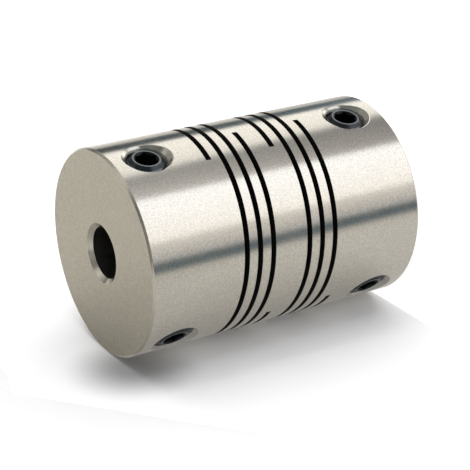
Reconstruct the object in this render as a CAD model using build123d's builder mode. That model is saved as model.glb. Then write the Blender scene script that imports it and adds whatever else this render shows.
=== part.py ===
from build123d import *
import os
from math import sqrt

# Helical beam shaft coupling: one piece of bar turned to size, bored through, and cut by two
# groups of helical slits so that the metal left between them flexes. Two set screws in each hub
# grip the shafts.
#
# Frame: the coupling stands on one end face. The origin is the middle of that face, +Z runs along
# the shaft axis, and the two columns of set screws lie on either side of the -Y direction.
# Lengths are in millimetres and angles in degrees.

# ---- driving dimensions -------------------------------------------------------------------------

BODY_DIAMETER = 25.4
BODY_LENGTH = 37.5
RIM_CHAMFER = 0.25

BORE_DIAMETER = 6.35
BORE_MOUTH_CHAMFER = 0.54
RELIEF_DIAMETER = 13.0
RELIEF_RAMP_LENGTH = 2.0

SLIT_STARTS = 3
SLIT_WIDTH = 0.7
SLIT_LEAD = 5.48
SLIT_TURN = 378.0
SLIT_GROUP_RISE = 11.5
SLIT_LOWER_END_AZIMUTH = -24.4

SCREW_AXIS_FROM_END = 4.7
SCREW_AZIMUTHS = {"right": -30.0, "left": -150.0}
SCREW_HOLE_DIAMETER = 5.1
SCREW_HOLE_MOUTH_DIAMETER = 6.25
SCREW_SINK = 0.3
SCREW_TURNS = {
    "lower": {"right": 30.0, "left": 10.0},
    "upper": {"right": -15.0, "left": 20.0},
}

SCREW_DIAMETER = 5.0
SCREW_LENGTH = 6.0
SCREW_FACE_DIAMETER = 3.4
SCREW_FACE_CHAMFER_DEPTH = 0.7
SCREW_TIP_DIAMETER = 2.5
SCREW_CUP_DEPTH = 0.7
SOCKET_ACROSS_FLATS = 2.5
SOCKET_DEPTH = 2.5
SOCKET_MOUTH_DIAMETER = 3.0
SOCKET_DRILL_POINT_DEPTH = 0.7

# ---- sizes that follow --------------------------------------------------------------------------

BODY_RADIUS = BODY_DIAMETER / 2
BORE_RADIUS = BORE_DIAMETER / 2
RELIEF_RADIUS = RELIEF_DIAMETER / 2
SCREW_RADIUS = SCREW_DIAMETER / 2

# The slits of a group are evenly spaced starts of one helix, and the second group is the first
# one moved along the axis until both stand the same distance from their own end of the coupling.
SLIT_CLIMB = SLIT_LEAD * SLIT_TURN / 360
SLIT_GROUP_STARTS = (SLIT_GROUP_RISE, BODY_LENGTH - SLIT_GROUP_RISE - SLIT_CLIMB)

# The bore opens out on a ramp that ends just before the first slit, so that every beam has the
# same depth.
RELIEF_MARGIN = SLIT_WIDTH
RELIEF_BOTTOM = SLIT_GROUP_RISE - SLIT_WIDTH / 2 - RELIEF_MARGIN
RELIEF_TOP = BODY_LENGTH - RELIEF_BOTTOM

# A slit's cutter reaches from inside the relieved bore to outside the body.
CUTTER_MARGIN = 0.8
CUTTER_INNER_RADIUS = RELIEF_RADIUS - CUTTER_MARGIN
CUTTER_OUTER_RADIUS = BODY_RADIUS + CUTTER_MARGIN
CUTTER_MID_RADIUS = (CUTTER_INNER_RADIUS + CUTTER_OUTER_RADIUS) / 2
CUTTER_DEPTH = CUTTER_OUTER_RADIUS - CUTTER_INNER_RADIUS

HUB_SCREW_HEIGHTS = {"lower": SCREW_AXIS_FROM_END, "upper": BODY_LENGTH - SCREW_AXIS_FROM_END}


def radial_plane(azimuth, height, radius):
    """A plane on the coupling's side whose normal points straight out from the shaft axis."""
    outward = Vector(1, 0, 0).rotate(Axis.Z, azimuth)
    return Plane(origin=outward * radius + Vector(0, 0, height), x_dir=(0, 0, 1), z_dir=outward)


os.makedirs("parts", exist_ok=True)

# ---- slit cutter --------------------------------------------------------------------------------
# A flat radial blade carried along a left-hand helix. It starts on the +X side at height zero.

with BuildPart() as slit_cutter:
    with BuildLine() as slit_path:
        Helix(pitch=SLIT_LEAD, height=SLIT_CLIMB, radius=CUTTER_MID_RADIUS, lefthand=True)
    blade_plane = Plane(origin=slit_path.line @ 0, x_dir=(1, 0, 0), z_dir=slit_path.line % 0)
    with BuildSketch(blade_plane):
        Rectangle(CUTTER_DEPTH, SLIT_WIDTH)
    sweep(is_frenet=True)

# ---- coupling body ------------------------------------------------------------------------------

with BuildPart() as coupling_body:
    # Half section in the plane that lies midway between the two columns of screws.
    with BuildSketch(Plane.YZ):
        with BuildLine():
            Polyline(
                (BORE_RADIUS + BORE_MOUTH_CHAMFER, 0),
                (BODY_RADIUS - RIM_CHAMFER, 0),
                (BODY_RADIUS, RIM_CHAMFER),
                (BODY_RADIUS, BODY_LENGTH - RIM_CHAMFER),
                (BODY_RADIUS - RIM_CHAMFER, BODY_LENGTH),
                (BORE_RADIUS + BORE_MOUTH_CHAMFER, BODY_LENGTH),
                (BORE_RADIUS, BODY_LENGTH - BORE_MOUTH_CHAMFER),
                (BORE_RADIUS, RELIEF_TOP + RELIEF_RAMP_LENGTH),
                (RELIEF_RADIUS, RELIEF_TOP),
                (RELIEF_RADIUS, RELIEF_BOTTOM),
                (BORE_RADIUS, RELIEF_BOTTOM - RELIEF_RAMP_LENGTH),
                (BORE_RADIUS, BORE_MOUTH_CHAMFER),
                close=True,
            )
        make_face()
    revolve(axis=Axis.Z)

    # Tapped holes for the set screws, each with a countersunk mouth, open into the bore.
    for height in HUB_SCREW_HEIGHTS.values():
        for azimuth in SCREW_AZIMUTHS.values():
            with Locations(radial_plane(azimuth, height, BODY_RADIUS)):
                CounterSinkHole(
                    radius=SCREW_HOLE_DIAMETER / 2,
                    counter_sink_radius=SCREW_HOLE_MOUTH_DIAMETER / 2,
                    counter_sink_angle=90,
                    depth=BODY_RADIUS,
                )

    # Two groups of helical slits, with evenly spaced starts.
    for group_start in SLIT_GROUP_STARTS:
        with Locations((0, 0, group_start)):
            with PolarLocations(0, SLIT_STARTS, start_angle=SLIT_LOWER_END_AZIMUTH):
                add(slit_cutter.part, mode=Mode.SUBTRACT)

coupling_body.part.label = "coupling_body"
export_step(coupling_body.part, "parts/coupling_body.step")

# ---- set screws ---------------------------------------------------------------------------------
# Hex socket set screw with a cup point, made once with its outer face on the XY plane and its
# length running down -Z.

SOCKET_CORNER_RADIUS = SOCKET_ACROSS_FLATS / sqrt(3)
SOCKET_MOUTH_RADIUS = SOCKET_MOUTH_DIAMETER / 2
SOCKET_MOUTH_DEPTH = SOCKET_MOUTH_RADIUS - SOCKET_ACROSS_FLATS / 2
SCREW_TIP_TAPER = SCREW_RADIUS - SCREW_TIP_DIAMETER / 2

with BuildPart() as set_screw:
    with BuildSketch(Plane.XZ):
        with BuildLine():
            Polyline(
                (0, 0),
                (SCREW_FACE_DIAMETER / 2, 0),
                (SCREW_RADIUS, -SCREW_FACE_CHAMFER_DEPTH),
                (SCREW_RADIUS, SCREW_TIP_TAPER - SCREW_LENGTH),
                (SCREW_TIP_DIAMETER / 2, -SCREW_LENGTH),
                (0, SCREW_CUP_DEPTH - SCREW_LENGTH),
                close=True,
            )
        make_face()
    revolve(axis=Axis.Z)

    # Hexagonal socket, with a chamfered mouth and the cone that the drill left at its bottom.
    with BuildSketch(Plane.XY):
        RegularPolygon(SOCKET_CORNER_RADIUS, 6)
    extrude(amount=-SOCKET_DEPTH, mode=Mode.SUBTRACT)
    with BuildSketch(Plane.XZ):
        with BuildLine():
            Polyline(
                (0, 0),
                (SOCKET_MOUTH_RADIUS, 0),
                (SOCKET_ACROSS_FLATS / 2, -SOCKET_MOUTH_DEPTH),
                (0, -SOCKET_MOUTH_DEPTH),
                close=True,
            )
            Polyline(
                (0, -SOCKET_DEPTH),
                (SOCKET_ACROSS_FLATS / 2, -SOCKET_DEPTH),
                (0, -SOCKET_DEPTH - SOCKET_DRILL_POINT_DEPTH),
                close=True,
            )
        make_face()
    revolve(axis=Axis.Z, mode=Mode.SUBTRACT)

# Each screw was driven until it was tight, so each socket stands at an angle of its own.
for hub, height in HUB_SCREW_HEIGHTS.items():
    for side, azimuth in SCREW_AZIMUTHS.items():
        name = f"set_screw_{hub}_{side}"
        with BuildPart() as placed_screw:
            with Locations(radial_plane(azimuth, height, BODY_RADIUS - SCREW_SINK)):
                add(set_screw.part, rotation=(0, 0, SCREW_TURNS[hub][side]))
        placed_screw.part.label = name
        export_step(placed_screw.part, f"parts/{name}.step")
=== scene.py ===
"""Looks of a helically slit beam coupling and its set screws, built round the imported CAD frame.

Shapes are worked out in millimetres, in the frame's own axes, and scaled to metres by the last
steps of each node tree.
"""

import logging
import math
from dataclasses import dataclass, field
from enum import Enum

import bpy
import numpy as np
from mathutils import Matrix, Vector


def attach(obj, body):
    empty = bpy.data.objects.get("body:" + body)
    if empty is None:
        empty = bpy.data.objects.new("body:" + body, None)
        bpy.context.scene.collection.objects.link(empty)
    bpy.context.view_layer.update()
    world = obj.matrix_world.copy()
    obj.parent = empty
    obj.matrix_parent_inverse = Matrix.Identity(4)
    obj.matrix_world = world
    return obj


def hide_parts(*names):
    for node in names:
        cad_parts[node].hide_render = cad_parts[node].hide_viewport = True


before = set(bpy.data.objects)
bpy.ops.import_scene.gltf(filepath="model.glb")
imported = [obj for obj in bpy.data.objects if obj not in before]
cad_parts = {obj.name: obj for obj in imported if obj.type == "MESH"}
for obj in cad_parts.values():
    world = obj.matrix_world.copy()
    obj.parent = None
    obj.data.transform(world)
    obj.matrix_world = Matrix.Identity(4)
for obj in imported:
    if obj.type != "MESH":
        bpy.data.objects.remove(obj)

LOG = logging.getLogger("coupling")
MM = 0.001
SOCKET_KINDS = {
    float: "NodeSocketFloat", int: "NodeSocketInt", tuple: "NodeSocketVector",
    type(None): "NodeSocketGeometry",
}
Triple = tuple[float, float, float]


# ---- node trees ---------------------------------------------------------------------------------


@dataclass(frozen=True)
class Value:
    """An output of a node, on which arithmetic adds Math nodes to the same tree."""

    tree: "Tree"
    socket: bpy.types.NodeSocket

    def step(self, operation: str, *others: object) -> "Value":
        """The result of a Math node on this value and the others."""
        return self.tree.math(operation, self, *others)

    def times_plus(self, factor: object, term: object) -> "Value":
        """This times a factor, plus a term, in one node."""
        return self.step("MULTIPLY_ADD", factor, term)

    def within(self, low: object, high: object) -> "Value":
        """This, held between two limits."""
        return self.step("MAXIMUM", low).step("MINIMUM", high)

    def __add__(self, other: object) -> "Value":
        """The sum."""
        return self.step("ADD", other)

    def __sub__(self, other: object) -> "Value":
        """The difference."""
        return self.step("SUBTRACT", other)

    def __rsub__(self, other: object) -> "Value":
        """The difference the other way round."""
        return self.tree.math("SUBTRACT", other, self)

    def __mul__(self, other: object) -> "Value":
        """The product."""
        return self.step("MULTIPLY", other)

    def __truediv__(self, other: object) -> "Value":
        """The quotient."""
        return self.step("DIVIDE", other)

    def __gt__(self, other: object) -> "Value":
        """One where this is the greater, and zero elsewhere."""
        return self.step("GREATER_THAN", other)

    def __lt__(self, other: object) -> "Value":
        """One where this is the smaller, and zero elsewhere."""
        return self.step("LESS_THAN", other)

    def __abs__(self) -> "Value":
        """The size without the sign."""
        return self.step("ABSOLUTE")


@dataclass(frozen=True)
class Step:
    """A node of a tree. Where a value is wanted, it stands for its first output."""

    tree: "Tree"
    node: bpy.types.Node

    def __getitem__(self, key: int | str) -> Value:
        """One of the node's outputs, by name or number."""
        return Value(self.tree, self.node.outputs[key])

    def feed(self, key: int | str, value: object) -> None:
        """Feeds one of the node's inputs.

        Args:
            key: the input's name or number.
            value: an output to link, a list of outputs, or a plain value to set.
        """
        socket = self.node.inputs[key]
        for one in value if isinstance(value, list) else [value]:
            source = one[0] if isinstance(one, Step) else one
            if isinstance(source, Value):
                self.tree.tree.links.new(source.socket, socket)
            else:
                socket.default_value = source


class Tree:
    """A node tree under construction, with short ways to add nodes, links and arithmetic."""

    def __init__(self, tree: bpy.types.NodeTree) -> None:
        """Starts on an empty tree."""
        self.tree = tree
        tree.nodes.clear()

    def add(self, kind: str, inputs: dict | None = None, **settings: object) -> Step:
        """Adds a node, sets it up and feeds its inputs.

        Args:
            kind: the node's type name.
            inputs: each input's name or number, with what feeds it.
            settings: the node's own properties.

        Returns:
            The new node.
        """
        node = self.tree.nodes.new(kind)
        for name, value in settings.items():
            setattr(node, name, value)
        step = Step(self, node)
        for key, value in (inputs or {}).items():
            step.feed(key, value)
        return step

    def math(self, operation: str, *numbers: object) -> Value:
        """The result of a Math node."""
        return self.add("ShaderNodeMath", dict(enumerate(numbers)), operation=operation)[0]

    def scaled(self, vector: object, factor: object) -> Step:
        """A vector times a number."""
        inputs = {0: vector, "Scale": factor}
        return self.add("ShaderNodeVectorMath", inputs, operation="SCALE")

    def vector(self, x: object = 0.0, y: object = 0.0, z: object = 0.0) -> Value:
        """A vector from its three parts."""
        return self.add("ShaderNodeCombineXYZ", {0: x, 1: y, 2: z})[0]

    def polar(self, radius: object, angle: Value, height: object) -> Value:
        """A place from its reach, its angle round the Z axis and its height."""
        return self.vector(angle.step("COSINE") * radius, angle.step("SINE") * radius, height)

    def parts(self, vector: object) -> Step:
        """A vector's three parts, by number."""
        return self.add("ShaderNodeSeparateXYZ", {0: vector})

    def position(self) -> Step:
        """The three parts of each point's place."""
        return self.parts(self.add("GeometryNodeInputPosition"))

    def reach(self, spot: Step) -> Value:
        """How far a place is from the Z axis, from its parts."""
        return (spot[0] * spot[0] + spot[1] * spot[1]).step("SQRT")

    def moved(self, geometry: object, place: object) -> Step:
        """The geometry with its points set to other places."""
        return self.add("GeometryNodeSetPosition", {"Geometry": geometry, "Position": place})

    def painted(self, geometry: object, material: bpy.types.Material, where: object = True) -> Step:
        """The geometry with a material on it, or on the faces where a mask is set."""
        inputs = {"Geometry": geometry, "Selection": where, "Material": material}
        return self.add("GeometryNodeSetMaterial", inputs)

    def in_metres(self, geometry: object) -> Step:
        """The geometry scaled from millimetres to metres, as one real mesh."""
        metres = self.add("GeometryNodeTransform", {"Geometry": geometry, "Scale": (MM, MM, MM)})
        return self.add("GeometryNodeRealizeInstances", {0: metres})


def open_group(name: str, kind: str, inputs: dict[str, object],
               outputs: dict[str, type]) -> tuple[Tree, Step]:
    """Starts a node group.

    Args:
        name: its name.
        kind: the type name of its tree.
        inputs: each input's name with its starting value, which is None for a mesh.
        outputs: each output's name with the type of its value.

    Returns:
        The tree, and the node that its inputs come out of.
    """
    group = bpy.data.node_groups.new(name, kind)
    for label, value in inputs.items():
        of_type = SOCKET_KINDS[type(value)]
        socket = group.interface.new_socket(label, in_out="INPUT", socket_type=of_type)
        if value is not None:
            socket.default_value = value
    for label, value_type in outputs.items():
        of_type = SOCKET_KINDS[value_type]
        group.interface.new_socket(label, in_out="OUTPUT", socket_type=of_type)
    tree = Tree(group)
    return tree, tree.add("NodeGroupInput")


def input_id(tree: bpy.types.NodeTree, name: str) -> str:
    """Finds the identifier of a tree's input.

    Args:
        tree: the tree.
        name: the input's name.

    Returns:
        Its identifier.
    """
    return next(
        item.identifier
        for item in tree.interface.items_tree
        if item.item_type == "SOCKET" and item.in_out == "INPUT" and item.name == name
    )


def new_material(name: str) -> tuple[bpy.types.Material, Tree]:
    """Makes a material, with its tree still empty.

    Args:
        name: its name.

    Returns:
        The material and its tree.
    """
    material = bpy.data.materials.new(name)
    material.use_nodes = True
    return material, Tree(material.node_tree)


def new_object(name: str, data: bpy.types.ID) -> bpy.types.Object:
    """Makes an object and links it to the scene.

    Args:
        name: its name.
        data: its mesh, lamp or camera.

    Returns:
        The new object.
    """
    thing = bpy.data.objects.new(name, data)
    bpy.context.scene.collection.objects.link(thing)
    return thing


# ---- finishes -----------------------------------------------------------------------------------


class Cut(Enum):
    """How a metal surface was made, which says which way its fine lines run."""

    TURNED = "turned"
    FACED = "faced"
    PLAIN = "plain"


@dataclass(frozen=True)
class Finish:
    """A metal finish: its colour, how sharp it mirrors, and the lines that the tool left.

    Attributes:
        name: the material's name.
        colour: the metal's colour, linear.
        roughness: the middle roughness.
        cut: the way its lines run.
        line_pitch: distance from line to line, in mm.
        line_depth: how deep the lines read, in mm.
        mottle: how much the colour wanders in slow clouds, from 0 to 1.
        speck: how much it varies from grain to grain.
        roughness_swing: how much the roughness wanders either way.
    """

    name: str
    colour: Triple
    roughness: float
    cut: Cut = Cut.PLAIN
    line_pitch: float = 0.06
    line_depth: float = 0.0
    mottle: float = 0.06
    speck: float = 0.3
    roughness_swing: float = 0.04


ALUMINIUM = (0.74, 0.70, 0.62)
TURNED = Finish("turned_aluminium", ALUMINIUM, 0.18, Cut.TURNED, 0.05, 0.003, speck=0.6)
FACED = Finish("faced_aluminium", (0.72, 0.68, 0.595), 0.38, Cut.FACED, 0.09, 0.004, speck=0.6)
CHAMFERED = Finish("chamfered_aluminium", ALUMINIUM, 0.24)
DEBURRED = Finish("deburred_aluminium", (0.80, 0.77, 0.70), 0.20)
# The bore's walls are coloured far darker than bare aluminium: painted shade inside the bore.
DRILLED_PAINTED_SHADE = Finish("drilled_aluminium_painted_shade", (0.14, 0.135, 0.12), 0.45, mottle=0.2)
# The slits' walls are coloured nearly black: painted shade deep in the narrow slits.
SAWN_PAINTED_SHADE = Finish("sawn_aluminium_painted_shade", (0.075, 0.073, 0.068), 0.55, mottle=0.2)
COUNTERSUNK = Finish("countersunk_aluminium", (0.60, 0.585, 0.535), 0.20, line_depth=0.002,
                     mottle=0.15)
# The threads of the tapped holes are coloured far darker than bare aluminium: painted shade deep in
# the holes.
TAPPED_PAINTED_SHADE = Finish("tapped_aluminium_painted_shade", (0.20, 0.195, 0.18), 0.36, line_depth=0.003, mottle=0.15)
BRIGHTENED = Finish("brightened_steel", (0.17, 0.18, 0.19), 0.30, mottle=0.4, speck=0.5)
RUBBED = Finish("rubbed_steel", (0.055, 0.061, 0.068), 0.30, line_depth=0.003, mottle=0.4,
                speck=0.5)
BROACHED = Finish("broached_steel", (0.030, 0.033, 0.037), 0.38, mottle=0.25)
BLACKENED = Finish("blackened_steel", (0.022, 0.025, 0.028), 0.34, line_depth=0.003, mottle=0.25)


@dataclass
class FinishShop:
    """Makes the materials, one for each finish, on shared node groups.

    Attributes:
        line_wander: how quickly a tool line changes on its way round, for each radian.
        line_detail: how many octaves one line's roughness has.
        band_share: how much slower the bands of lines change than the lines do.
        cloud_scale: how many clouds there are to a millimetre.
        speck_scale: how many specks there are to a millimetre.
        made: the materials made so far, by name.
    """

    line_wander: float = 0.35
    line_detail: float = 3.0
    band_share: float = 0.13
    cloud_scale: float = 0.22
    speck_scale: float = 5.0
    made: dict[str, bpy.types.Material] = field(default_factory=dict)

    def __post_init__(self) -> None:
        """Builds the shared groups."""
        self.lines = self.tool_lines()
        self.grain = self.metal_grain()

    def tool_lines(self) -> bpy.types.NodeTree:
        """Builds the shader group of the fine lines that a cutting tool leaves.

        Returns:
            A group that takes the distance across the lines, in mm, and puts out their height.
        """
        tree, size = open_group("tool_lines", "ShaderNodeTree", {
            "Across": 0.0, "Around": 0.0, "Pitch": 0.06,
        }, {"Height": float})
        rows = size["Across"] / size["Pitch"]
        drift = size["Around"] * self.line_wander
        fine = tree.add("ShaderNodeTexNoise", {
            "Vector": tree.vector(rows, drift), "Scale": 1.0, "Detail": self.line_detail,
            "Roughness": 0.6,
        })
        slow = tree.add("ShaderNodeTexNoise", {
            "Vector": tree.vector(rows * self.band_share, drift), "Scale": 1.0, "Detail": 1.0,
        })
        tree.add("NodeGroupOutput", {"Height": (fine["Fac"] + slow["Fac"]) * 0.5})
        return tree.tree

    def metal_grain(self) -> bpy.types.NodeTree:
        """Builds the shader group of the slow and fine unevenness of bare metal.

        Returns:
            A group that takes a point in mm and puts out a cloudy and a fine mask, about 0.5.
        """
        tree, size = open_group("metal_grain", "ShaderNodeTree", {"Point": (0.0, 0.0, 0.0)},
                                {"Cloud": float, "Speck": float})
        masks = {}
        kinds = (("Cloud", self.cloud_scale, 3.0), ("Speck", self.speck_scale, 2.0))
        for name, scale, detail in kinds:
            masks[name] = tree.add("ShaderNodeTexNoise", {
                "Vector": size["Point"], "Scale": scale, "Detail": detail,
            })["Fac"]
        tree.add("NodeGroupOutput", masks)
        return tree.tree

    def material(self, finish: Finish) -> bpy.types.Material:
        """The material of a finish, made on its first use.

        Args:
            finish: the finish.

        Returns:
            Its one material.
        """
        if finish.name not in self.made:
            self.made[finish.name] = self.build(finish)
        return self.made[finish.name]

    def build(self, finish: Finish) -> bpy.types.Material:
        """Builds a metal material from its finish.

        Args:
            finish: the colour, roughness and lines.

        Returns:
            The new material.
        """
        material, tree = new_material(finish.name)
        point = tree.scaled(tree.add("ShaderNodeTexCoord")["Object"], 1 / MM)
        grain = tree.add("ShaderNodeGroup", {"Point": point}, node_tree=self.grain)
        cloud, speck = grain["Cloud"], grain["Speck"]
        shade = cloud.times_plus(finish.mottle, 1.0 - finish.mottle / 2)
        shade = (speck - 0.5).times_plus(finish.speck, shade)
        smoothest = finish.roughness - finish.roughness_swing
        shader = tree.add("ShaderNodeBsdfPrincipled", {
            "Base Color": tree.scaled(finish.colour, shade), "Metallic": 1.0,
            "Roughness": cloud.times_plus(2 * finish.roughness_swing, smoothest),
        })
        if finish.line_depth > 0:
            shader.feed("Normal", self.line_normal(tree, finish, point, speck))
        tree.add("ShaderNodeOutputMaterial", {"Surface": shader})
        return material

    def line_normal(self, tree: Tree, finish: Finish, point: Step, speck: Value) -> Step:
        """The bumped normal of a finish's tool lines.

        Args:
            tree: the material's tree.
            finish: the finish, with its way of cutting.
            point: the place on the piece, in mm.
            speck: the fine grain, which is the height where there are no lines.

        Returns:
            The node that puts the normal out.
        """
        height = speck
        if finish.cut is not Cut.PLAIN:
            spot = tree.parts(point)
            height = tree.add("ShaderNodeGroup", {
                "Across": spot[2] if finish.cut is Cut.TURNED else tree.reach(spot),
                "Around": spot[1].step("ARCTAN2", spot[0]), "Pitch": finish.line_pitch,
            }, node_tree=self.lines)
        return tree.add("ShaderNodeBump", {
            "Strength": 1.0, "Distance": finish.line_depth * MM, "Height": height,
        })


# ---- shapes that repeat -------------------------------------------------------------------------


THREAD_ROOT_FLAT = 0.25
THREAD_FLANK = 0.625
SEAM = 0.9999
WELD = 0.0005


def thread_tree() -> bpy.types.NodeTree:
    """Builds the group that makes a threaded rod with chamfered ends.

    The rod runs down -Z from its face at height zero. A sheet of rows that climb with the thread
    is rolled up, its ends are flattened and drawn in to the axis, and the seam is merged, which
    closes it. The same rod is a screw, or the tap that cuts a screw's hole.

    Returns:
        The group, with the rod's sizes as named inputs.
    """
    tree, size = open_group("threaded_rod", "GeometryNodeTree", {
        "Major Radius": 2.5, "Minor Radius": 2.05, "Pitch": 0.8, "Length": 6.0,
        "Face Radius": 1.8, "Face Taper": 0.6, "Tip Radius": 1.25, "Tip Taper": 1.25,
        "Mouth Radius": 0.0, "Overrun": 0.0, "Phase": 0.0, "Segments": 64, "Rows In A Pitch": 16,
    }, {"Rod": type(None)})

    # Rows: enough to pass both flattened ends at every angle, and two at each end for the axis.
    step = size["Pitch"] / size["Rows In A Pitch"]
    whole = size["Length"] + size["Overrun"] + size["Pitch"]
    rows = (whole / step).step("CEIL") + 4.0
    sheet = tree.add("GeometryNodeMeshGrid", {
        "Size X": 1.0, "Size Y": 1.0, "Vertices X": size["Segments"] + 1.0, "Vertices Y": rows,
    })
    place = tree.position()
    turn = place[0] + 0.5
    last = rows - 1.0
    row = ((place[1] + 0.5) * last).step("ROUND")

    # Depth under the face. The first and last rows are the axis ends.
    free = (row - 2.0) * step - turn * size["Pitch"] - size["Overrun"]
    depth = free.within(size["Overrun"] * -1.0, size["Length"])

    # The V of the thread, flat at its root and, less so, at its crest.
    phase = (depth / size["Pitch"] + size["Phase"] + turn).step("FRACT")
    wave = abs(phase * 2.0 - 1.0)
    flank = ((wave - THREAD_ROOT_FLAT) / THREAD_FLANK).within(0.0, 1.0)
    deep = size["Major Radius"] - size["Minor Radius"]
    radius = flank.times_plus(deep, size["Minor Radius"])

    # Both ends taper in, and a tap's mouth opens out.
    for end, below in (("Face", depth), ("Tip", size["Length"] - depth)):
        slope = (size["Major Radius"] - size[end + " Radius"]) / size[end + " Taper"]
        radius = radius.step("MINIMUM", below.times_plus(slope, size[end + " Radius"]))
    radius = radius.step("MAXIMUM", size["Mouth Radius"] - depth)
    radius = radius * ((row > 0.5) * (row < last - 0.5))

    # The last column stands exactly on the first one.
    angle = turn * math.tau * (turn < SEAM)
    rolled = tree.moved(sheet["Mesh"], tree.polar(radius, angle, depth * -1.0))
    closed = tree.add("GeometryNodeMergeByDistance", {"Geometry": rolled, "Distance": WELD})
    tree.add("NodeGroupOutput", {"Rod": tree.add("GeometryNodeFlipFaces", {0: closed})})
    return tree.tree


def standing_out(tree: Tree, geometry: object, azimuth: object, height: object,
                 radius: object) -> Step:
    """Turns a rod that runs down -Z so that its face looks straight out from the shaft axis.

    Args:
        tree: the tree to work in.
        geometry: the rod.
        azimuth: which side of the coupling, in degrees.
        height: how far up the shaft axis.
        radius: how far out the rod's face lies.

    Returns:
        The rod in its place.
    """
    angle = tree.math("RADIANS", azimuth)
    return tree.add("GeometryNodeTransform", {
        "Geometry": geometry, "Translation": tree.polar(radius, angle, height),
        "Rotation": tree.vector(0.0, -math.pi / 2, angle + math.pi),
    })


def slit_blade_tree() -> bpy.types.NodeTree:
    """Builds the group that makes the blades which saw the slits.

    A blade is a bar with many cross lines, wound into a left-hand helix. The first one is repeated
    round the axis, once for each start, and up it, once for each group.

    Returns:
        The group, with the slits' sizes as named inputs.
    """
    tree, size = open_group("slit_blades", "GeometryNodeTree", {
        "Width": 0.6, "Lead": 5.48, "Turn": 378.0, "Inner Radius": 5.7, "Outer Radius": 13.5,
        "First Azimuth": 0.0, "First Height": 0.0, "Group Spacing": 10.0,
        "Starts": 3, "Groups": 2, "Steps": 253,
    }, {"Blades": type(None)})
    bar = tree.add("GeometryNodeMeshCube", {
        "Size": (1.0, 1.0, 1.0), "Vertices X": 2, "Vertices Y": size["Steps"], "Vertices Z": 2,
    })
    place = tree.position()
    swept = (place[1] + 0.5) * size["Turn"].step("RADIANS")
    angle = swept * -1.0
    depth = size["Outer Radius"] - size["Inner Radius"]
    radius = (place[0] + 0.5).times_plus(depth, size["Inner Radius"])
    middle = (size["Outer Radius"] + size["Inner Radius"]) * 0.5
    climb = size["Lead"] / math.tau

    # The blade stands square to its own path at its middle radius.
    slope = climb.step("ARCTAN2", middle)
    aside = place[2] * size["Width"]
    sideways = aside * slope.step("SINE")
    upwards = aside * slope.step("COSINE")
    cosine, sine = angle.step("COSINE"), angle.step("SINE")
    wound = tree.moved(bar["Mesh"], tree.vector(
        radius * cosine - sideways * sine, radius * sine + sideways * cosine, swept * climb + upwards,
    ))
    blade = tree.add("GeometryNodeFlipFaces", {0: wound})

    # One point for each blade, and the blade turned to its start.
    points = tree.add("GeometryNodeMeshLine", {
        "Count": size["Starts"] * size["Groups"], "Start Location": (0, 0, 0), "Offset": (0, 0, 0),
    })
    index = tree.add("GeometryNodeInputIndex")[0]
    level = ((index + 0.5) / size["Starts"]).step("FLOOR")
    height = level.times_plus(size["Group Spacing"], size["First Height"])
    between = tree.math("DIVIDE", 360.0, size["Starts"])
    start = index.times_plus(between, size["First Azimuth"]).step("RADIANS")
    blades = tree.add("GeometryNodeInstanceOnPoints", {
        "Points": tree.moved(points["Mesh"], tree.vector(z=height)), "Instance": blade,
        "Rotation": tree.vector(z=start),
    })
    tree.add("NodeGroupOutput", {"Blades": tree.add("GeometryNodeRealizeInstances", {0: blades})})
    return tree.tree


class Shape:
    """A mesh piece made by a node tree from its inputs."""

    def __init__(self, name: str, tree: bpy.types.NodeTree,
                 start: bpy.types.Mesh | None = None) -> None:
        """Sets the piece up, with its tree and the mesh that the tree starts from.

        Args:
            name: the piece's name.
            tree: the tree that makes it.
            start: the mesh that the tree works on, if it has one.
        """
        self.name = name
        self.tree = tree
        self.object = new_object(name, start or bpy.data.meshes.new(name + "_start"))
        self.modifier = self.object.modifiers.new("shape", "NODES")
        self.modifier.node_group = tree

    def give(self, **values: object) -> "Shape":
        """Sets the tree's inputs.

        Args:
            **values: the inputs' values, by name, with a low line for each space.

        Returns:
            The shape itself.
        """
        for name, value in values.items():
            self.modifier[input_id(self.tree, name.replace("_", " "))] = value
        return self

    def finished(self) -> bpy.types.Object:
        """Turns the piece into a plain mesh and takes the tree off.

        Returns:
            The piece, at the origin.
        """
        view = bpy.context.evaluated_depsgraph_get()
        mesh = bpy.data.meshes.new_from_object(self.object.evaluated_get(view), depsgraph=view)
        mesh.name = self.name
        self.object.modifiers.remove(self.modifier)
        self.object.data = mesh
        return self.object


def smooth(mesh: bpy.types.Mesh, angle: float) -> None:
    """Shades a mesh smooth, up to its edges sharper than an angle in degrees."""
    mesh.polygons.foreach_set("use_smooth", np.ones(len(mesh.polygons), dtype=bool))
    mesh.set_sharp_from_angle(angle=math.radians(angle))


# ---- the coupling's body ------------------------------------------------------------------------


@dataclass(frozen=True)
class Ring:
    """One corner of the half section that is turned into the blank."""

    radius: float
    height: float


@dataclass
class SetScrewSeat:
    """Where a set screw stands."""

    hub: str
    side: str
    azimuth: float
    height: float
    turn: float

    @property
    def node(self) -> str:
        """The name of its node in the frame."""
        return f"set_screw_{self.hub}_{self.side}"

    @property
    def body(self) -> str:
        """The name of the body that it rides on."""
        return f"screw_{self.hub}_{self.side}"


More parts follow.
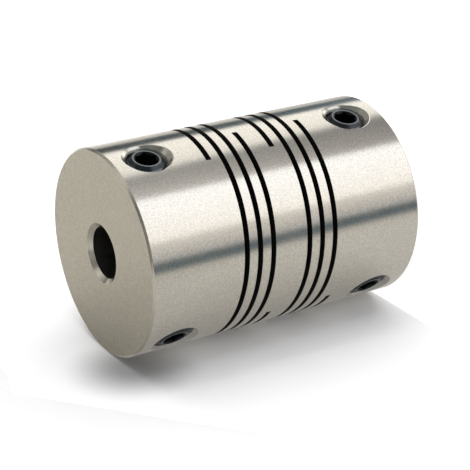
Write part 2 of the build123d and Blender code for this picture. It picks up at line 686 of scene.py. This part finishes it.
@dataclass
class CouplingBody:
    """The one-piece coupling: a bored blank with two groups of slits and four tapped holes.

    Lengths are in mm. Of the fields that the names don't explain, blade_margin is how far a
    slit's blade stands past the walls that it cuts, bore_clearance how far the tap stays off the
    shaft axis, and broken_edge, broken_slope and broken_above are the depth of the deburred edge
    under the body's side, how much wider than deep it is, and how far its cutter stands out.
    """

    shop: FinishShop
    rod: bpy.types.NodeTree
    seats: list[SetScrewSeat]
    radius: float = 12.7
    length: float = 37.5
    rim_chamfer: float = 0.25
    bore_radius: float = 3.175
    bore_chamfer: float = 0.54
    relief_radius: float = 6.5
    relief_bottom: float = 10.45
    ramp_length: float = 2.0
    segments: int = 288
    slit_width: float = 0.7
    slit_lead: float = 5.48
    slit_turn: float = 378.0
    slit_rise: float = 11.5
    slit_azimuth: float = -24.4
    blade_margin: float = 0.8
    thread_pitch: float = 0.8
    hole_radius: float = 2.55
    hole_minor_radius: float = 2.16
    mouth_radius: float = 3.125
    bore_clearance: float = 1.6
    broken_edge: float = 0.04
    broken_slope: float = 3.5
    broken_above: float = 0.3
    broken_sides: int = 96
    end_margin: float = 0.01
    sharp_angle: float = 15.0
    level_normal: float = 0.9

    def section(self) -> list[tuple[Ring, Finish]]:
        """The half section, each corner with the finish that follows it.

        Returns:
            The corners from the near end round to the bore, with the inside to their left.
        """
        mouth = self.bore_radius + self.bore_chamfer
        rim = self.radius - self.rim_chamfer
        top = self.length
        low, high = self.relief_bottom, top - self.relief_bottom
        return [
            (Ring(mouth, 0), FACED),
            (Ring(rim, 0), CHAMFERED),
            (Ring(self.radius, self.rim_chamfer), TURNED),
            (Ring(self.radius, top - self.rim_chamfer), CHAMFERED),
            (Ring(rim, top), FACED),
            (Ring(mouth, top), CHAMFERED),
            (Ring(self.bore_radius, top - self.bore_chamfer), DRILLED_PAINTED_SHADE),
            (Ring(self.bore_radius, high + self.ramp_length), DRILLED_PAINTED_SHADE),
            (Ring(self.relief_radius, high), DRILLED_PAINTED_SHADE),
            (Ring(self.relief_radius, low), DRILLED_PAINTED_SHADE),
            (Ring(self.bore_radius, low - self.ramp_length), DRILLED_PAINTED_SHADE),
            (Ring(self.bore_radius, self.bore_chamfer), CHAMFERED),
        ]

    def blank(self) -> bpy.types.Mesh:
        """Turns the half section into the body as it leaves the lathe.

        Returns:
            The mesh of the uncut body, with a material slot for each of its finishes.
        """
        section = self.section()
        finishes = list(dict.fromkeys(finish for _, finish in section))
        turns = np.arange(self.segments) * math.tau / self.segments
        corners = [
            (ring.radius * math.cos(turn), ring.radius * math.sin(turn), ring.height)
            for ring, _ in section for turn in turns
        ]
        faces, marks = [], []
        for row, (_, finish) in enumerate(section):
            this, after = row * self.segments, (row + 1) % len(section) * self.segments
            for step in range(self.segments):
                beside = (step + 1) % self.segments
                faces.append((this + step, this + beside, after + beside, after + step))
                marks.append(finishes.index(finish))
        mesh = bpy.data.meshes.new("coupling_blank")
        mesh.from_pydata(corners, [], faces)
        for finish in finishes:
            mesh.materials.append(self.shop.material(finish))
        mesh.polygons.foreach_set("material_index", marks)
        mesh.update()
        return mesh

    def lip(self, tree: Tree) -> Step:
        """The cutter that breaks the edge of a hole's countersunk mouth.

        Its narrow end stands on the countersink, just under the body's round side all the way
        about.

        Args:
            tree: the tree to work in.

        Returns:
            A shallow cone that looks along +Z from height zero, with the shaft axis along X.
        """
        cone = tree.add("GeometryNodeMeshCone", {
            "Vertices": self.broken_sides, "Radius Top": 2.0, "Radius Bottom": 1.0, "Depth": 1.0,
        })
        spot = tree.position()
        angle = spot[1].step("ARCTAN2", spot[0])
        sine = angle.step("SINE")
        curve = sine * sine * (self.mouth_radius / self.radius)
        root = curve.times_plus(2.0, 1.0).step("SQRT")
        sag = curve * self.mouth_radius / (curve + 1.0 + root)
        low = sag + self.broken_edge
        narrow = self.mouth_radius - low
        wide = (low + self.broken_above).times_plus(self.broken_slope, narrow)
        upper = spot[2] > 0.5
        radius = (wide - narrow).times_plus(upper, narrow)
        height = (low + self.broken_above).times_plus(upper, low * -1.0)
        return tree.moved(cone["Mesh"], tree.polar(radius, angle, height))

    def at_seats(self, tree: Tree, cutter: Step) -> Step:
        """Repeats a cutter at every screw's seat.

        Args:
            tree: the tree to work in.
            cutter: the cutter, looking along +Z from height zero.

        Returns:
            All of its copies together.
        """
        return tree.add("GeometryNodeJoinGeometry", {0: [
            standing_out(tree, cutter, seat.azimuth, seat.height, self.radius) for seat in self.seats
        ]})

    def tree(self) -> bpy.types.NodeTree:
        """The tree that saws the slits and taps the holes.

        Returns:
            A tree that takes the blank and puts out the body in metres.
        """
        tree, size = open_group("coupling_body", "GeometryNodeTree", {
            "Blank": None, "Slit Width": self.slit_width, "Slit Turn": self.slit_turn,
            "End Flatness": 0.99,
        }, {"Body": type(None)})
        finish = self.shop.material
        blades = tree.add("GeometryNodeGroup", {
            "Width": size["Slit Width"], "Turn": size["Slit Turn"], "Lead": self.slit_lead,
            "First Azimuth": self.slit_azimuth, "First Height": self.slit_rise,
            "Group Spacing": self.length - 2 * self.slit_rise - self.slit_lead * self.slit_turn / 360,
            "Inner Radius": self.relief_radius - self.blade_margin,
            "Outer Radius": self.radius + self.blade_margin,
        }, node_tree=slit_blade_tree())
        tap = tree.add("GeometryNodeGroup", {
            "Major Radius": self.hole_radius, "Minor Radius": self.hole_minor_radius,
            "Pitch": self.thread_pitch, "Length": self.radius - self.bore_clearance,
            "Face Radius": self.hole_radius, "Tip Radius": self.hole_radius,
            "Mouth Radius": self.mouth_radius, "Overrun": 2 * self.thread_pitch,
        }, node_tree=self.rod)
        in_mouth = tree.position()[2] > self.hole_radius - self.mouth_radius
        sunk = tree.painted(tree.painted(tap, finish(TAPPED_PAINTED_SHADE)), finish(COUNTERSUNK), in_mouth)
        cut = tree.add("GeometryNodeMeshBoolean", {
            "Mesh 1": size["Blank"],
            "Mesh 2": [
                tree.painted(blades, finish(SAWN_PAINTED_SHADE)),
                self.at_seats(tree, sunk),
                tree.painted(self.at_seats(tree, self.lip(tree)), finish(DEBURRED)),
            ],
        }, operation="DIFFERENCE", solver="EXACT")
        real = tree.in_metres(cut)

        # The two flat ends are faced.
        normal = tree.parts(tree.add("GeometryNodeInputNormal"))
        middle = self.length / 2 * MM
        at_end = abs(tree.position()[2] - middle) > middle - self.end_margin * MM
        ends = (abs(normal[2]) > size["End Flatness"]) * at_end
        tree.add("NodeGroupOutput", {"Body": tree.painted(real, finish(FACED), ends)})
        return tree.tree

    def shade(self, mesh: bpy.types.Mesh) -> None:
        """Gives the mesh the normals of the true surfaces, so that reflections run smoothly over it.

        Turned faces take the direction away from the shaft axis, and a slit's walls take that of
        their helix. Threads, countersinks and deburred edges are smoothed up to their edges.

        Args:
            mesh: the finished body.
        """
        smooth(mesh, self.sharp_angle)
        corners = np.empty(len(mesh.loops) * 3, dtype=np.float32)
        mesh.corner_normals.foreach_get("vector", corners)
        corners = corners.reshape(-1, 3)
        points = np.empty(len(mesh.vertices) * 3, dtype=np.float32)
        mesh.vertices.foreach_get("co", points)
        points = points.reshape(-1, 3)
        names = [material.name for material in mesh.materials]
        climb = self.slit_lead * MM / math.tau
        for face in mesh.polygons:
            name = names[face.material_index]
            if name in (COUNTERSUNK.name, TAPPED_PAINTED_SHADE.name, DEBURRED.name):
                continue
            loops = np.arange(face.loop_start, face.loop_start + face.loop_total)
            at = points[[mesh.loops[loop].vertex_index for loop in loops]]
            reach = np.maximum(np.hypot(at[:, 0], at[:, 1]), 1e-9)
            out = np.column_stack([at[:, 0] / reach, at[:, 1] / reach, np.zeros(len(at))])
            round_axis = np.column_stack([-out[:, 1], out[:, 0], np.zeros(len(at))])
            normal = face.normal
            if name == SAWN_PAINTED_SHADE.name:
                if abs(normal.z) < self.level_normal:
                    true = np.tile(np.array(normal), (len(at), 1))
                else:
                    true = round_axis * (climb / reach)[:, None] + np.array([0.0, 0.0, 1.0])
                    true *= math.copysign(1.0, normal.z)
            else:
                centre = at.mean(axis=0)
                sign = math.copysign(1.0, normal.x * centre[0] + normal.y * centre[1])
                true = out * sign * math.hypot(normal.x, normal.y) + np.array([0.0, 0.0, normal.z])
            corners[loops] = true / np.linalg.norm(true, axis=1)[:, None]
        mesh.normals_split_custom_set(corners.tolist())

    def build(self) -> bpy.types.Object:
        """Makes the body, and puts it in the place of its node.

        Returns:
            The finished piece.
        """
        piece = Shape("coupling_body_turned", self.tree(), self.blank()).finished()
        self.shade(piece.data)
        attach(piece, "coupling")
        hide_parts("coupling_body")
        LOG.info("%s: %d faces", piece.name, len(piece.data.polygons))
        return piece


# ---- set screws ---------------------------------------------------------------------------------


@dataclass
class SetScrews:
    """Cup-point set screws with a hexagonal socket, one in each tapped hole.

    Lengths are in mm. Of the fields that the names don't explain, thread_start is where in its
    pitch the thread begins, cutter_above how far the socket's cutters stand out of the face, and
    worn_depth and bright_depth how far under the crests the black wears thin and how far above the
    roots it is gone.
    """

    shop: FinishShop
    rod: bpy.types.NodeTree
    seats: list[SetScrewSeat]
    body_radius: float = 12.7
    sink: float = 0.3
    radius: float = 2.49
    minor_radius: float = 2.0
    pitch: float = 0.8
    length: float = 6.0
    face_radius: float = 1.7
    face_taper: float = 0.7
    tip_radius: float = 1.25
    tip_taper: float = 1.25
    cup_depth: float = 0.7
    cup_below: float = 0.2
    across_flats: float = 2.5
    socket_depth: float = 2.5
    mouth_radius: float = 1.5
    drill_depth: float = 0.7
    drill_above: float = 0.02
    cutter_above: float = 0.4
    cone_sides: int = 48
    thread_start: float = 0.875
    worn_depth: float = 0.03
    bright_depth: float = 0.12
    face_margin: float = 0.01
    sharp_angle: float = 30.0

    def cone(self, tree: Tree, wide: float, narrow: float, low: float, high: float) -> Step:
        """A cone on the screw's axis.

        Args:
            tree: the tree to work in.
            wide: radius at its upper end.
            narrow: radius at its lower end.
            low: height of its lower end.
            high: height of its upper end.

        Returns:
            The cone.
        """
        cone = tree.add("GeometryNodeMeshCone", {
            "Vertices": self.cone_sides, "Radius Top": wide, "Radius Bottom": narrow,
            "Depth": high - low,
        })
        return tree.add("GeometryNodeTransform", {
            "Geometry": cone["Mesh"], "Translation": (0, 0, low),
        })

    def cutters(self, tree: Tree, size: Step) -> list[Step]:
        """The cutters of the socket and the cup, and of the socket's chamfered mouth.

        Args:
            tree: the tree to work in.
            size: the tree's inputs.

        Returns:
            Both cutters, each with the material that it leaves.
        """
        above = self.cutter_above
        flat = self.across_flats / 2
        prism = tree.add("GeometryNodeMeshCylinder", {
            "Vertices": 6, "Depth": self.socket_depth + above,
            "Radius": size["Across Flats"] / math.sqrt(3),
        })
        prism = tree.add("GeometryNodeTransform", {
            "Geometry": prism["Mesh"], "Translation": (0, 0, (above - self.socket_depth) / 2),
            "Rotation": tree.vector(z=(size["Socket Turn"] + 30.0).step("RADIANS")),
        })
        drill_slope = flat / self.drill_depth
        drill = self.cone(tree, flat + self.drill_above * drill_slope, 0,
                          -self.socket_depth - self.drill_depth, self.drill_above - self.socket_depth)
        cup_slope = self.tip_radius / self.cup_depth
        cup = self.cone(tree, 0, self.tip_radius + self.cup_below * cup_slope,
                        -self.length - self.cup_below, self.cup_depth - self.length)
        mouth = self.cone(tree, self.mouth_radius + above, flat, flat - self.mouth_radius, above)
        socket = tree.add("GeometryNodeJoinGeometry", {0: [prism, drill, cup]})
        return [
            tree.painted(socket, self.shop.material(BROACHED)),
            tree.painted(mouth, self.shop.material(BLACKENED)),
        ]

    def wear(self, tree: Tree) -> dict[str, Value]:
        """Finds the edges where the black wears off.

        Args:
            tree: the tree to work in.

        Returns:
            The masks of the rubbed and of the bright places, by name.
        """
        spot = tree.position()
        reach = tree.reach(spot)
        slope = (self.radius - self.face_radius) / self.face_taper
        taper = spot[2].times_plus(-slope, self.face_radius - self.worn_depth)
        rubbed = reach > taper.step("MINIMUM", self.radius - self.worn_depth)
        crest = rubbed * (reach > self.minor_radius + self.bright_depth)
        face = (spot[2] > -self.face_margin) * (reach > self.mouth_radius - self.face_margin)
        return {"Rubbed": rubbed, "Bright": crest.step("MAXIMUM", face)}

    def tree(self) -> bpy.types.NodeTree:
        """The tree that makes one screw.

        Returns:
            A tree whose inputs say where the screw stands, and which puts it out in metres.
        """
        tree, size = open_group("set_screw", "GeometryNodeTree", {
            "Azimuth": 0.0, "Height": 0.0, "Socket Turn": 0.0,
            "Face Radius From Axis": self.body_radius - self.sink,
            "Across Flats": self.across_flats,
        }, {"Screw": type(None)})
        rod = tree.add("GeometryNodeGroup", {
            "Major Radius": self.radius, "Minor Radius": self.minor_radius, "Pitch": self.pitch,
            "Length": self.length, "Face Radius": self.face_radius, "Face Taper": self.face_taper,
            "Tip Radius": self.tip_radius, "Tip Taper": self.tip_taper,
            "Phase": self.thread_start + self.sink / self.pitch,
        }, node_tree=self.rod)
        cut = tree.add("GeometryNodeMeshBoolean", {
            "Mesh 1": tree.painted(rod, self.shop.material(BLACKENED)), "Self Intersection": True,
            "Mesh 2": self.cutters(tree, size),
        }, operation="DIFFERENCE", solver="EXACT")
        noted = tree.add("GeometryNodeCaptureAttribute", {"Geometry": cut}, domain="FACE")
        for name, mask in self.wear(tree).items():
            noted.node.capture_items.new("FLOAT", name)
            noted.feed(name, mask)
        placed = standing_out(tree, noted["Geometry"], size["Azimuth"], size["Height"],
                              size["Face Radius From Axis"])
        worn = tree.in_metres(placed)
        for name, finish in (("Rubbed", RUBBED), ("Bright", BRIGHTENED)):
            worn = tree.painted(worn, self.shop.material(finish), noted[name])
        tree.add("NodeGroupOutput", {"Screw": worn})
        return tree.tree

    def build(self) -> list[bpy.types.Object]:
        """Makes the four screws, each on its own body.

        Returns:
            The finished pieces.
        """
        tree = self.tree()
        pieces = []
        for seat in self.seats:
            piece = Shape(f"{seat.node}_threaded", tree).give(
                Azimuth=seat.azimuth, Height=seat.height, Socket_Turn=seat.turn,
            ).finished()
            smooth(piece.data, self.sharp_angle)
            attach(piece, seat.body)
            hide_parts(seat.node)
            LOG.info("%s: %d faces", piece.name, len(piece.data.polygons))
            pieces.append(piece)
        return pieces


# ---- studio -------------------------------------------------------------------------------------


@dataclass(frozen=True)
class Panel:
    """A curved board round the coupling, which lights it or darkens a band of its reflection.

    Attributes:
        name: its name.
        start: the azimuth of its first edge, in degrees.
        end: the azimuth of its second edge.
        glow: the light it gives at the first edge, linear.
        far_glow: the light at the second edge.
        fade: over how many degrees its first edge fades.
        far_fade: the same for its second edge.
        lean: how far its first edge turns from foot to head, in degrees for each metre.
        far_lean: the same for its second edge.
        foot: the height that it starts at, in metres.
        head: the height that it ends at.
        foot_fade: over how much height its foot fades.
        head_fade: the same for its head.
        rise: how much brighter it is a metre above its middle, as a share of its glow.
        distance: how far away it stands, in metres.
        middle: the height at which its edges are where they are said to be.
        lights: whether it lights what is round it, apart from its reflection.
    """

    name: str
    start: float
    end: float
    glow: Triple
    far_glow: Triple
    fade: float = 3.0
    far_fade: float = 3.0
    lean: float = 0.0
    far_lean: float = 0.0
    foot: float = -0.8
    head: float = 0.30
    foot_fade: float = 0.01
    head_fade: float = 0.05
    rise: float = 0.0
    distance: float = 0.5
    middle: float = -0.28
    lights: bool = True


@dataclass(frozen=True)
class Shade:
    """A painted shadow: a darker patch in a sheet's paint.

    Attributes:
        middle: its middle, in metres.
        left: the share of the colour that is left there.
        near: how far that reaches.
        far: where the colour is whole again.
    """

    middle: Triple = (0.0, 0.0, 0.0)
    left: float = 1.0
    near: float = 0.0
    far: float = 1.0


@dataclass(frozen=True)
class Sheet:
    """A flat pale sheet: the floor, or a board that takes the coupling's shadow.

    Attributes:
        name: its name.
        corners: its four corners in metres, turning left round its front.
        lift: how much light it gives to the camera and to metal.
        colour: its colour, linear.
        seen: whether the camera sees it.
        mirrored: whether metal shows it.
        lights: whether it lights what is round it.
        shade: where a shadow is painted into it, as darker paint.
    """

    name: str
    corners: tuple[Triple, ...]
    lift: float
    colour: Triple
    seen: bool = True
    mirrored: bool = False
    lights: bool = True
    shade: Shade = Shade()


# The board stands where the ground would be if the coupling lay on its side.
BOARD_AZIMUTH = 164.3
BOARD_AWAY = 0.01273


def upright(name: str, near: float, far: float, foot: float, head: float, **rest: object) -> Sheet:
    """A sheet that stands on edge beside the coupling and faces it.

    Args:
        name: its name.
        near: how far it reaches to one side, in metres.
        far: how far it reaches to the other side.
        foot: the height of its lower edge.
        head: the height of its upper edge.
        **rest: the other attributes of the sheet.

    Returns:
        The sheet.
    """
    angle = math.radians(BOARD_AZIMUTH)
    out = Vector((math.cos(angle), math.sin(angle), 0.0)) * BOARD_AWAY
    along = Vector((math.sin(angle), -math.cos(angle), 0.0))
    corners = [out + along * reach + Vector((0.0, 0.0, height))
               for reach, height in ((near, foot), (far, foot), (far, head), (near, head))]
    return Sheet(name, tuple(tuple(corner) for corner in corners), **rest)


FLOOR = -0.02 * MM
FLOOR_REACH = 3.0
TOP = 0.0376
DARK = (0.072, 0.112, 0.142)
DIM = (0.15, 0.15, 0.145)
SHEETS = (
    Sheet("floor", tuple((x * FLOOR_REACH, y * FLOOR_REACH, FLOOR)
                         for x, y in ((-1, -1), (1, -1), (1, 1), (-1, 1))), 0.66, (0.95, 0.95, 0.95)),
    # The board's paint is darker round the near end's foot: a painted shadow that deepens the
    # coupling's own.
    upright("backdrop", -0.13, 0.25, FLOOR, 0.20, lift=0.02, colour=(0.88, 0.885, 0.90),
            lights=False, shade=Shade((-0.01388, -0.00234, 0.0370), 0.34, 0.001, 0.0090)),
    upright("backdrop_by_side", -0.067, 0.06, -0.12, TOP, lift=0.22, colour=(0.285, 0.28, 0.27),
            seen=False, mirrored=True, lights=False),
    # This copy of the board, which only metal shows, has a painted shadow round the near end's foot,
    # so the end face's reflection darkens towards its foot.
    upright("backdrop_by_end", -0.08, 0.25, TOP, 0.30, lift=0.0, colour=(0.465, 0.455, 0.423),
            seen=False, mirrored=True, lights=False,
            shade=Shade((-0.01226, 0.00344, 0.0375), 0.66, 0.008, 0.032)),
)
PANELS = (
    Panel("softbox_right", 52.0, -8.0, (1.30, 1.30, 1.28), (1.0, 1.0, 0.98)),
    Panel("softbox_low", 60.0, -30.0, (1.7, 1.7, 1.64), (1.7, 1.7, 1.64), foot=-3.0, head=-0.78,
          head_fade=0.01, lights=False),
    Panel("flag_before", 52.0, -88.0, (0.38, 0.37, 0.34), (0.13, 0.15, 0.16), fade=6.0,
          far_fade=6.0, foot=-0.10, foot_fade=0.05, head=0.36, head_fade=0.03, distance=0.44,
          lights=False),
    Panel("softbox_front", -31.0, -84.0, (1.40, 1.44, 1.56), (1.22, 1.21, 1.21)),
    Panel("softbox_side", -80.0, -104.0, (0.86, 0.82, 0.80), (0.50, 0.51, 0.53), fade=8.0,
          head=0.8, head_fade=0.01),
    Panel("scrim_back", 112.0, 70.0, (1.30, 1.30, 1.28), (0.62, 0.62, 0.60), far_fade=6.0,
          head=0.05, rise=3.0),
    Panel("flag_right", 67.0, 45.5, DARK, DARK, lean=-30.0, far_lean=-30.0, distance=0.46,
          rise=-6.0),
    Panel("flag_front", 10.0, -34.2, (0.22, 0.23, 0.25), (0.52, 0.51, 0.51), fade=12.0,
          far_fade=1.5, lean=-120.0, far_lean=-8.0, distance=0.46, middle=-0.257, rise=3.0),
    Panel("flag_side", -101.5, -118.0, DARK, DARK, far_fade=6.0, distance=0.46),
    Panel("flag_back", 194.0, 102.0, (0.66, 0.64, 0.62), (0.10, 0.105, 0.12), far_fade=2.0,
          foot=-0.325, foot_fade=0.06, head=0.05, distance=0.46),
    Panel("flag_under", 200.0, 122.0, (0.34, 0.335, 0.33), (0.40, 0.395, 0.39), fade=12.0,
          far_fade=10.0, foot=-0.05, foot_fade=0.05, head=0.42, head_fade=0.1, distance=0.42),
    Panel("flag_over", -165.0, 0.0, DIM, DIM, fade=12.0, far_fade=12.0, foot=0.24,
          foot_fade=0.05, head=0.9, head_fade=0.01, distance=0.34),
)


@dataclass
class Studio:
    """The floor, the light round the coupling, and the camera.

    Lengths are in metres. A panel has panel_columns by panel_rows faces, leans no further than
    lean_reach above and below its middle, and grows no brighter than at rise_reach.
    """

    room: Triple = (0.65, 0.635, 0.60)
    lamp_size: float = 0.9
    lamp_power: float = 10.6
    lamp_azimuth: float = 3.0
    lamp_height: float = -0.2
    lamp_distance: float = 0.5
    camera_at: Triple = (0.030478, -0.169183, 0.115166)
    camera_back: Triple = (0.162717, -0.85811, 0.487001)
    camera_up: Triple = (0.97624, 0.068431, -0.205605)
    lens: float = 121.723
    panel_columns: int = 12
    panel_rows: int = 16
    lean_reach: float = 0.2
    rise_reach: float = 0.1

    def world(self) -> None:
        """Sets the light of the room: white to the camera, and a soft grey to all the rest."""
        world = bpy.data.worlds.new("room")
        world.use_nodes = True
        tree = Tree(world.node_tree)
        around, behind = (
            tree.add("ShaderNodeBackground", {"Color": (*colour, 1.0), "Strength": 1.0})
            for colour in (self.room, (1.0, 1.0, 1.0))
        )
        seen = tree.add("ShaderNodeLightPath")["Is Camera Ray"]
        mix = tree.add("ShaderNodeMixShader", {0: seen, 1: around, 2: behind})
        tree.add("ShaderNodeOutputWorld", {"Surface": mix})
        bpy.context.scene.world = world

    def paint(self, sheet: Sheet) -> bpy.types.Material:
        """Makes a sheet's pale paint, which is clear from behind.

        Args:
            sheet: the sheet to paint.

        Returns:
            Its material.
        """
        material, tree = new_material(sheet.name)
        # The paint darkens smoothly towards the shade's middle: a painted shadow.
        shade = sheet.shade
        point = tree.add("ShaderNodeTexCoord")["Object"]
        away = tree.add("ShaderNodeVectorMath", {0: point, 1: shade.middle}, operation="DISTANCE")
        share = tree.add("ShaderNodeMapRange", {
            0: away["Value"], 1: shade.near, 2: shade.far, 3: shade.left, 4: 1.0,
        }, interpolation_type="SMOOTHSTEP")
        paint = tree.add("ShaderNodeBsdfDiffuse", {"Color": tree.scaled(sheet.colour, share)})
        path = tree.add("ShaderNodeLightPath")
        seen = path["Is Camera Ray"].step("MAXIMUM", path["Is Glossy Ray"])
        seen = seen.step("MAXIMUM", path["Is Transmission Ray"])
        lift = tree.add("ShaderNodeEmission", {"Strength": seen * sheet.lift})
        front = tree.add("ShaderNodeAddShader", {0: paint, 1: lift})
        behind = tree.add("ShaderNodeNewGeometry")["Backfacing"]
        clear = tree.add("ShaderNodeBsdfTransparent")
        both = tree.add("ShaderNodeMixShader", {0: behind, 1: front, 2: clear})
        tree.add("ShaderNodeOutputMaterial", {"Surface": both})
        return material

    def sheet(self, sheet: Sheet) -> bpy.types.Object:
        """Puts up one pale sheet.

        Args:
            sheet: where it is and how pale it is.

        Returns:
            The sheet.
        """
        mesh = bpy.data.meshes.new(sheet.name)
        mesh.from_pydata([Vector(corner) for corner in sheet.corners], [], [(0, 1, 2, 3)])
        mesh.materials.append(self.paint(sheet))
        board = new_object(sheet.name, mesh)
        board.visible_camera = sheet.seen
        board.visible_glossy = sheet.mirrored
        board.visible_diffuse = sheet.lights
        board.visible_shadow = False
        return board

    def panel_mesh(self, panel: Panel) -> bpy.types.Mesh:
        """Makes a panel's mesh, which notes how far across and how high up each point is.

        Args:
            panel: where it stands.

        Returns:
            The mesh.
        """
        columns, rows = self.panel_columns, self.panel_rows
        corners, faces, across, up = [], [], [], []
        for row in range(rows + 1):
            height = panel.foot + (panel.head - panel.foot) * row / rows
            over = max(-self.lean_reach, min(self.lean_reach, height - panel.middle))
            first, last = panel.start + panel.lean * over, panel.end + panel.far_lean * over
            for column in range(columns + 1):
                azimuth = math.radians(first + (last - first) * column / columns)
                corners.append((panel.distance * math.cos(azimuth),
                                panel.distance * math.sin(azimuth), height))
                across.append(column / columns)
                up.append(height)
                if column < columns and row < rows:
                    here = row * (columns + 1) + column
                    faces.append((here, here + 1, here + columns + 2, here + columns + 1))
        mesh = bpy.data.meshes.new(panel.name)
        mesh.from_pydata(corners, [], faces)
        mesh.attributes.new("across", "FLOAT", "POINT").data.foreach_set("value", across)
        mesh.attributes.new("up", "FLOAT", "POINT").data.foreach_set("value", up)
        return mesh

    def panel_glow(self, panel: Panel) -> bpy.types.Material:
        """Makes a panel's glow, which fades out to clear at its four edges.

        Args:
            panel: how it glows.

        Returns:
            Its material.
        """
        material, tree = new_material(panel.name)
        where = tree.add("ShaderNodeAttribute", attribute_name="across")["Fac"]
        height = tree.add("ShaderNodeAttribute", attribute_name="up")["Fac"]
        mix = tree.add("ShaderNodeMix", {
            "Factor": where, 6: (*panel.glow, 1.0), 7: (*panel.far_glow, 1.0),
        }, data_type="RGBA")
        width = abs(panel.end - panel.start)
        shown = 1.0
        for value, edge, inner in (
            (where, 0.0, panel.fade / width),
            (where, 1.0, 1.0 - panel.far_fade / width),
            (height, panel.foot, panel.foot + panel.foot_fade),
            (height, panel.head, panel.head - panel.head_fade),
        ):
            inside = tree.add("ShaderNodeMapRange", {0: value, 1: edge, 2: inner},
                              interpolation_type="SMOOTHSTEP")
            shown = inside[0] * shown
        above = (height - panel.middle).within(-self.rise_reach, self.rise_reach)
        glow = tree.add("ShaderNodeEmission", {
            "Color": mix[2], "Strength": above.times_plus(panel.rise, 1.0),
        })
        clear = tree.add("ShaderNodeBsdfTransparent")
        both = tree.add("ShaderNodeMixShader", {0: shown, 1: clear, 2: glow})
        tree.add("ShaderNodeOutputMaterial", {"Surface": both})
        if not panel.lights:
            material.cycles.emission_sampling = "NONE"
        return material

    def panel(self, panel: Panel) -> bpy.types.Object:
        """Stands one panel up.

        Args:
            panel: where it stands and how it glows.

        Returns:
            The board, which the camera doesn't see.
        """
        mesh = self.panel_mesh(panel)
        mesh.materials.append(self.panel_glow(panel))
        board = new_object(panel.name, mesh)
        board.visible_camera = False
        board.visible_shadow = False
        board.visible_diffuse = panel.lights
        LOG.info("panel %s from %.0f to %.0f degrees", panel.name, panel.start, panel.end)
        return board

    def lamp(self) -> bpy.types.Object:
        """Hangs the lamp that faces the backdrop over the coupling, and that metal doesn't show.

        Returns:
            The lamp.
        """
        data = bpy.data.lights.new("lamp", "AREA")
        data.shape = "SQUARE"
        data.size = self.lamp_size
        data.energy = self.lamp_power
        lamp = new_object("lamp", data)
        angle = math.radians(self.lamp_azimuth)
        out = Vector((math.cos(angle), math.sin(angle), 0.0))
        turn = out.to_track_quat("Z", "Y").to_matrix().to_4x4()
        place = out * self.lamp_distance + Vector((0.0, 0.0, self.lamp_height))
        lamp.matrix_world = Matrix.Translation(place) @ turn
        lamp.visible_camera = False
        lamp.visible_glossy = False
        return lamp

    def camera(self) -> bpy.types.Object:
        """Sets the camera up.

        Returns:
            The scene's camera.
        """
        data = bpy.data.cameras.new("camera")
        data.lens = self.lens
        data.sensor_width = 36.0
        data.clip_start = 0.01
        data.clip_end = 20.0
        camera = new_object("camera", data)
        back = Vector(self.camera_back).normalized()
        right = Vector(self.camera_up).cross(back).normalized()
        turn = Matrix((right, back.cross(right), back)).transposed()
        camera.matrix_world = Matrix.Translation(self.camera_at) @ turn.to_4x4()
        bpy.context.scene.camera = camera
        return camera

    def build(self) -> None:
        """Sets up the whole studio."""
        self.world()
        for sheet in SHEETS:
            self.sheet(sheet)
        for panel in PANELS:
            self.panel(panel)
        self.lamp()
        self.camera()


# ---- the whole ----------------------------------------------------------------------------------


SOCKET_TURNS = {
    ("lower", "right"): 30.0, ("lower", "left"): 10.0,
    ("upper", "right"): -15.0, ("upper", "left"): 20.0,
}


def seats(length: float = 37.5, from_end: float = 4.7) -> list[SetScrewSeat]:
    """The places of the four set screws.

    Args:
        length: the coupling's length.
        from_end: how far each pair stands from its own end.

    Returns:
        Two seats in each hub.
    """
    return [
        SetScrewSeat(hub, side, azimuth, height, SOCKET_TURNS[hub, side])
        for hub, height in (("lower", from_end), ("upper", length - from_end))
        for side, azimuth in (("right", -30.0), ("left", -150.0))
    ]


def main() -> None:
    """Builds the coupling, its screws and the studio."""
    logging.basicConfig(level=logging.INFO, format="%(name)s %(message)s")
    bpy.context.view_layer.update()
    bpy.context.scene.view_settings.view_transform = "Standard"
    shop = FinishShop()
    rod = thread_tree()
    CouplingBody(shop, rod, seats()).build()
    SetScrews(shop, rod, seats()).build()
    Studio().build()
    LOG.info("boxes written")


if __name__ == "__main__":
    main()
